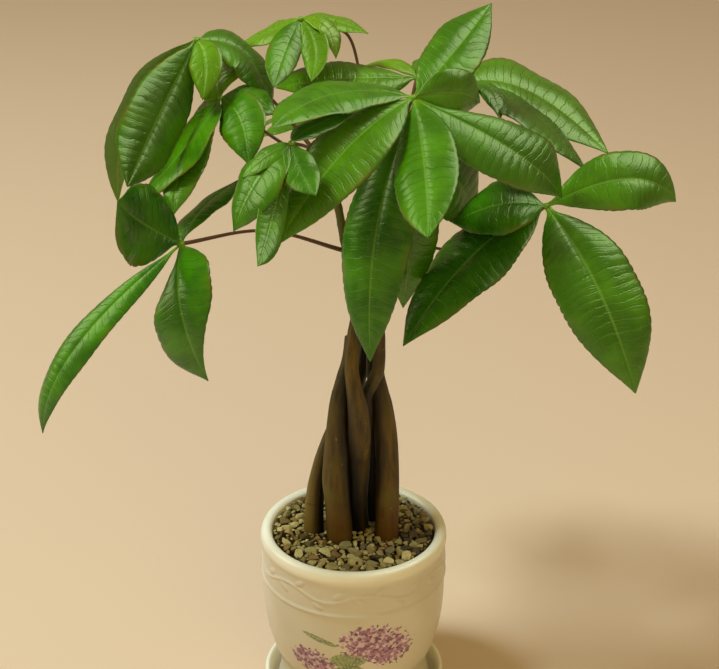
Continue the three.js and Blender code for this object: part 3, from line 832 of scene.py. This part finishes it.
def leaflet(hub, leaf, seed):
    """Rings, uvs and kinds of a leaflet: arched, grooved at its midrib and puffed up between its veins."""
    length = np.linalg.norm([leaf.x, leaf.y, leaf.z])
    rows = int(np.clip(length / BLADE_STEP, *BLADE_ROWS))
    u = np.linspace(0, 1, rows)[:, None]
    v = np.linspace(-1, 1, BLADE_ACROSS + 1)[None, :]
    out = np.abs(v)
    size = min(1, leaf.width / BROAD)

    veins = length / VEIN_SPACING * u - VEIN_SLANT * out**VEIN_CURVE
    veins = veins + VEIN_WANDER * noise_sheet(u, v, *VEIN_NOISE, seed)
    puff = 1 - np.abs(2 * (veins % 1) - 1) ** 3
    half = leaf.width / 2 * outline_at(u + 4 * leaf.skew * u * (1 - u) * np.sign(v))
    half = half * (1 + SCALLOP * (puff - 0.5))
    rise = blade_rise(u, v, half, puff, size, seed)
    lift = BLADE_THICKNESS / 2 * np.clip(1.05 - out**6, BLADE_EDGE, 1)
    rib = RIB_HEIGHT * size * np.sqrt(1 - u) * ridge(out, RIB_WIDTH)

    centre, side, normal = leaflet_spine(hub, leaf, u)
    middle = centre + (half * v)[..., None] * side
    top = middle + (rise + lift)[..., None] * normal
    under = middle + (rise - lift - rib)[..., None] * normal
    return there_and_back(top, under), *leaflet_marks(leaf, veins, u, v, seed)


def leaflet_marks(leaf, veins, u, v, seed):
    """The uvs of a leaflet, which count its veins and go across it, and its kinds."""
    across = np.broadcast_to((v + 1) / 2, veins.shape)
    uvs = np.stack([there_and_back(veins, veins), there_and_back(across, across)], axis=2)
    below = there_and_back(np.zeros_like(across), np.ones_like(across))
    young = np.broadcast_to(np.maximum(leaf.young, FRESHNESS - u / FRESH_BASE), below.shape)
    shade = np.full_like(below, (seed * SHADE_STEP) % 1)
    return uvs.reshape(-1, 2), np.stack([below, young, shade], axis=2).reshape(-1, 3)


def make_leaf(name, hub, rows, material, seed):
    pile = Pile()
    for k, row in enumerate(rows):
        rings, uvs, kinds = leaflet(hub, Leaflet(*row), seed + LEAFLET_SEED_STEP * k)
        pile.add_skin(rings, kinds=kinds, uvs=uvs)
    pile.add_ball(hub, KNOB, KNOB_KIND, detail=3, lumps=0.12)
    leaf = pile.build(name + "_blades", material)
    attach(leaf, "root")
    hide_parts(name)


def make_leaves():
    material = leaf_paint()
    for number, (name, (_, _, hub, rows)) in enumerate(LEAVES.items()):
        make_leaf(name, hub, rows, material, FIRST_LEAF_SEED + LEAF_SEED_STEP * number)


# ---- Stems and shoots ----

def nearness(rings, others):
    """How strongly the bark is painted with shade: 1 where a ring's point is close to another stem, down
    to 0 where it is clear of all.
    """
    points = rings.reshape(-1, 1, 3)
    gaps = np.linalg.norm(points - others[None, :, :3], axis=2) - others[None, :, 3]
    return np.interp(gaps.min(axis=1), CREVICE, (1, 0)).reshape(rings.shape[:2]) ** 2


def round_noise(angle, around, along):
    """Noise that goes round a stem and along it. around says how quickly it changes round it."""
    return noise.noise(Vector((around * math.cos(angle), around * math.sin(angle), along)))


def make_stem(name, points, material, seed):
    """A stem with shallow flutes, slight swellings and a rounded top."""
    def swell(run, angle):
        flute = round_noise(angle, FLUTES_AROUND, run / FLUTE_LENGTH + seed)
        swelling = round_noise(angle, 1, run / SWELLING_LENGTH + 3 * seed)
        return FLUTE_HEIGHT * flute + SWELLING_HEIGHT * max(0, swelling)

    rings = limb(points, STEM_SIDES, STEM_STEP, swell)
    top = rings[-1].mean(axis=0)
    rings[-1] = top + STEM_TOP * (rings[-1] - top)
    paths = [path for other, path in STEMS.items() if other != name]
    others = np.vstack([smooth_path(path, CREVICE_STEPS) for path in paths])
    # kind holds how near another stem is, which sets the painted shade between the stems.
    kinds = np.zeros(rings.shape)
    kinds[:, :, 0] = nearness(rings, others)
    pile = Pile()
    pile.add_skin(rings, kinds=kinds.reshape(-1, 3))
    stem = pile.build(name + "_bark", material)
    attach(stem, "root")
    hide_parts(name)


def make_stems():
    material = bark_paint()
    for number, (name, points) in enumerate(STEMS.items()):
        make_stem(name, points, material, STEM_SEED_STEP * number)


def stalk_route(points, hub):
    """A stalk's points up to just inside the knob of its leaf, thicker at both ends."""
    root = (*points[0], STALK_RADIUS + STALK_FOOT_FLARE)
    middle = [(*point, STALK_RADIUS) for point in points[1:]]
    return [root, *middle, (*hub, STALK_RADIUS + STALK_TOP_FLARE)]


def shoot_route(points):
    """A shoot's points, from inside its stem, where it is a little thicker."""
    x, y, z, radius = points[0]
    down = (Vector((x, y, z)) - Vector(points[1][:3])).normalized() * SHOOT_ROOT
    flared = radius + SHOOT_FLARE
    return [(x + down.x, y + down.y, z + down.z, flared), (x, y, z, flared), *points[1:]]


def leaf_scars(run, _angle):
    """Narrow rings round a shoot where older leaves grew."""
    return SCAR_HEIGHT * math.sin(run / SCAR_SPACING) ** 8


def make_shoot(name, points, leaves, material):
    pile = Pile()
    pile.add_skin(limb(shoot_route(points), SHOOT_SIDES, SHOOT_STEP, leaf_scars))
    pile.add_ball(points[-1][:3], SHOOT_TIP, (0, 0, 0), detail=2, lumps=0.1)
    for stalk, hub in leaves:
        pile.add_skin(limb(stalk_route(stalk, hub), STALK_SIDES, STALK_STEP), kinds=(1, 0, 0))
    shoot = pile.build(name + "_wood", material)
    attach(shoot, "root")
    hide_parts(name)


def make_shoots():
    material = shoot_paint()
    for name, points in SHOOTS.items():
        leaves = [(stalk, hub) for shoot, stalk, hub, _ in LEAVES.values() if shoot == name]
        make_shoot(name, points, leaves, material)


# ---- Gravel and soil ----

def stone(draw, size):
    """Corners and faces of an angular stone about 1 in radius: a ball with flats cut off it."""
    corners, faces = ball(3 if size > FINER_SIZE else 2)
    shape = corners.copy()
    for _ in range(PEBBLE_FLATS):
        direction = unit(np.array([draw.gauss(0, 1) for _ in range(3)]))
        over = np.clip(shape @ direction - draw.uniform(*FLAT_DISTANCES), 0, None)
        shape -= over[:, None] * direction
    return shape, faces


def turned_stone(draw, shape, size):
    """The corners of a stone, flattened to its size, leaning a little and turned any way."""
    shape = shape * (size, size * draw.uniform(*WIDTHS), size * draw.uniform(*HEIGHTS))
    turn = draw.uniform(0, math.pi)
    tilt = draw.uniform(-GREATEST_TILT, GREATEST_TILT)
    spin = [[math.cos(turn), -math.sin(turn), 0], [math.sin(turn), math.cos(turn), 0], [0, 0, 1]]
    lean = [[1, 0, 0], [0, math.cos(tilt), -math.sin(tilt)], [0, math.sin(tilt), math.cos(tilt)]]
    return shape @ (np.array(spin) @ np.array(lean)).T


def darkening(draw, share):
    """How strongly a stone is stained: a share of them strongly, the others hardly."""
    return draw.uniform(STRONG_STAIN, 1) if draw.random() < share else draw.uniform(0, SLIGHT_STAIN)


def pebble_places(draw):
    """Yields (x, y, size) of one stone after another, from large to small, clear of what lies there."""
    stems = [(x, y, radius) for (_, (x, y, _, radius), *_) in STEMS.values()]
    smallest, largest = PEBBLE_SIZES
    placed = []
    for _ in range(PEBBLE_TRIES):
        if len(placed) >= PEBBLES:
            return
        left = 1 - len(placed) / PEBBLES
        size = smallest + (largest - smallest) * left**PEBBLE_FALL * draw.uniform(0.6, 1)
        out = (GRAVEL_RADIUS - WALL_CLEARANCE * size) * math.sqrt(draw.random())
        angle = draw.uniform(0, TURN)
        x = out * math.cos(angle)
        y = out * math.sin(angle)
        if any(math.hypot(x - a, y - b) < radius + STEM_CLEARANCE * size for a, b, radius in stems):
            continue
        if any(math.hypot(x - a, y - b) < STONE_SPACING * (size + other) for a, b, other in placed):
            continue
        placed.append((x, y, size))
        yield x, y, size


def make_gravel(material):
    """A bed of loose stones of many sizes."""
    draw = random.Random(PEBBLE_SEED)
    pile = Pile()
    for x, y, size in pebble_places(draw):
        shape, faces = stone(draw, size)
        corners = turned_stone(draw, shape, size)
        # Painted shade: more of the stones right of the middle are dark or brown.
        more = SHADED_SIDE_MORE if x > SHADED_SIDE_X else 0
        dark = darkening(draw, DARK_SHARE + more)
        brown = darkening(draw, BROWN_SHARE + more)
        bank = GRAVEL_BANK * (math.hypot(x, y) / GRAVEL_RADIUS) ** 3
        z = GRAVEL_Z + draw.uniform(*UNEVEN_BED) + bank
        pile.add_body(corners + (x, y, z), faces, (dark, brown, draw.random()))
    gravel = pile.build("gravel_pebbles", material, smooth=False)
    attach(gravel, "root")
    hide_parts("gravel")


def fill_soil():
    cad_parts["soil"].material_slots[0].material = soil_paint()


# ---- Pot and saucer ----

def vine_z(angles):
    return VINE_Z + VINE_SWING * np.sin(VINE_WAVES * angles + VINE_START)


def vine_leaf(number, angles, z):
    """How far the pot is raised by one of the vine's leaves."""
    place = TURN * (number + VINE_FIRST_LEAF) / VINE_LEAVES
    side = 1 if number % 2 else -1
    x = POT_RADIUS * (np.mod(angles - place + math.pi, TURN) - math.pi)
    height = z - vine_z(place) - VINE_LEAF_OFFSET * side
    slant = VINE_LEAF_SLANT * side
    half_length, half_width = VINE_LEAF_SIZE
    along = (x * math.cos(slant) + height * math.sin(slant)) / half_length
    across = (height * math.cos(slant) - x * math.sin(slant)) / half_width
    return VINE_LEAF_HEIGHT * np.clip(1 - along**2 - across**2, 0, 1) ** 0.6


def relief(angles, z):
    """How far the pot is raised by its band and by the leafy vine between it and the rim."""
    lowest, highest = RELIEF_HEIGHTS
    if not lowest < z < highest:
        return np.zeros_like(angles)
    band = BAND_HEIGHT * ridge(z - BAND_Z, BAND_SPREAD)
    vine = VINE_HEIGHT * ridge(z - vine_z(angles), VINE_SPREAD)
    leaves = [vine_leaf(number, angles, z) for number in range(VINE_LEAVES)]
    low, high = SCROLL_HEIGHTS
    window = np.clip((z - low) / SCROLL_FADE, 0, 1) * np.clip((high - z) / SCROLL_FADE, 0, 1)
    return band + window * np.max([vine, *leaves], axis=0)


def make_round(name, node, rings, material):
    pile = Pile()
    pile.add_skin(rings)
    body = pile.build(name, material)
    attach(body, "root")
    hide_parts(node)


def make_pot():
    """The pot, from the middle of its base up its outside, over the rim and down into the soil."""
    outside = smooth_profile(POT_OUTSIDE, POT_ROWS)
    inside = smooth_profile(POT_INSIDE, LIP_ROWS)
    below = [(POT_CORE_RADIUS, POT_BASE_Z)]
    hollow = [(POT_MOUTH_RADIUS, POT_HOLLOW_Z), (POT_CORE_RADIUS, POT_HOLLOW_Z)]
    rings = turned(below + outside + inside + hollow, POT_COLUMNS, relief)
    make_round("pot_glazed", "pot", rings, glaze_paint("pot_glaze", POT_RIM_LIGHT, spray=True))


def make_saucer():
    rings = turned(SAUCER_PROFILE, SAUCER_COLUMNS)
    make_round("saucer_glazed", "saucer", rings, glaze_paint("saucer_glaze", SAUCER_RIM_LIGHT))


# ---- Stage, light and camera ----

FLOOR_Z = -0.2
FLOOR_CORNERS = [(-4000, -3000), (4000, -3000), (4000, 6000), (-4000, 6000)]

ROOM_LIGHT = (1, 0.74, 0.35, 1)
ROOM_STRENGTH = 0.33

# Each lamp in metres and watts: its place, what it points at, its diameter, its power and its colour.
# A lamp gives soft light, or else the sheen on glossy surfaces.
SOFT_LAMPS = {
    "key": ((-1.4, -0.08, 2.85), (0, 0, 0.2), 0.8, 94, (0.74, 0.9, 1)),
    "fill": ((0.5, -1.6, 1.3), (0, 0, 0.3), 1.5, 9, (1, 0.9, 0.5)),
}
SHEEN_LAMPS = {
    "right_sheen": ((0.8, 0.05, 1.65), (0, 0, 0.3), 1.4, 18, (0.95, 1, 0.72)),
    "left_sheen": ((-1.6, 0.2, 1.25), (0, 0, 0.35), 1.3, 13, (0.95, 1, 0.62)),
}

CAMERA_PLACE = (0.0038, -0.877, 0.6594)
CAMERA_TILT = 65.5
CAMERA_LENS = 78.6


def make_stage():
    paint = Paint("floor_pale")
    paint.set(Base_Color=FLOOR_PALE, Roughness=0.6)
    points = [(x, y, FLOOR_Z) for x, y in FLOOR_CORNERS]
    floor = add_mesh("floor", points, [(0, 1, 2, 3)], paint.material)


def add_lamp(name, place, target, size, power, colour):
    light = bpy.data.lights.new(name, "AREA")
    light.shape = "DISK"
    light.size = size
    light.energy = power
    light.color = colour
    lamp = bpy.data.objects.new(name, light)
    lamp.location = place
    lamp.rotation_euler = (Vector(target) - Vector(place)).to_track_quat("-Z", "Y").to_euler()
    bpy.context.scene.collection.objects.link(lamp)
    return lamp


def make_lights():
    world = bpy.data.worlds.new("soft_room")
    world.use_nodes = True
    background = world.node_tree.nodes["Background"]
    background.inputs["Color"].default_value = ROOM_LIGHT
    background.inputs["Strength"].default_value = ROOM_STRENGTH
    bpy.context.scene.world = world
    for name, settings in SOFT_LAMPS.items():
        add_lamp(name, *settings).visible_glossy = False
    for name, settings in SHEEN_LAMPS.items():
        add_lamp(name, *settings).visible_diffuse = False


def make_camera():
    camera = bpy.data.cameras.new("camera")
    camera.lens = CAMERA_LENS
    holder = bpy.data.objects.new("camera", camera)
    holder.location = CAMERA_PLACE
    holder.rotation_euler = (math.radians(CAMERA_TILT), 0, 0)
    bpy.context.scene.collection.objects.link(holder)
    bpy.context.scene.camera = holder


# ---- The whole ----

make_camera()
make_lights()
make_stage()
make_leaves()
make_stems()
make_shoots()
make_gravel(gravel_paint())
fill_soil()
make_pot()
make_saucer()

bpy.context.scene.view_settings.view_transform = "Standard"
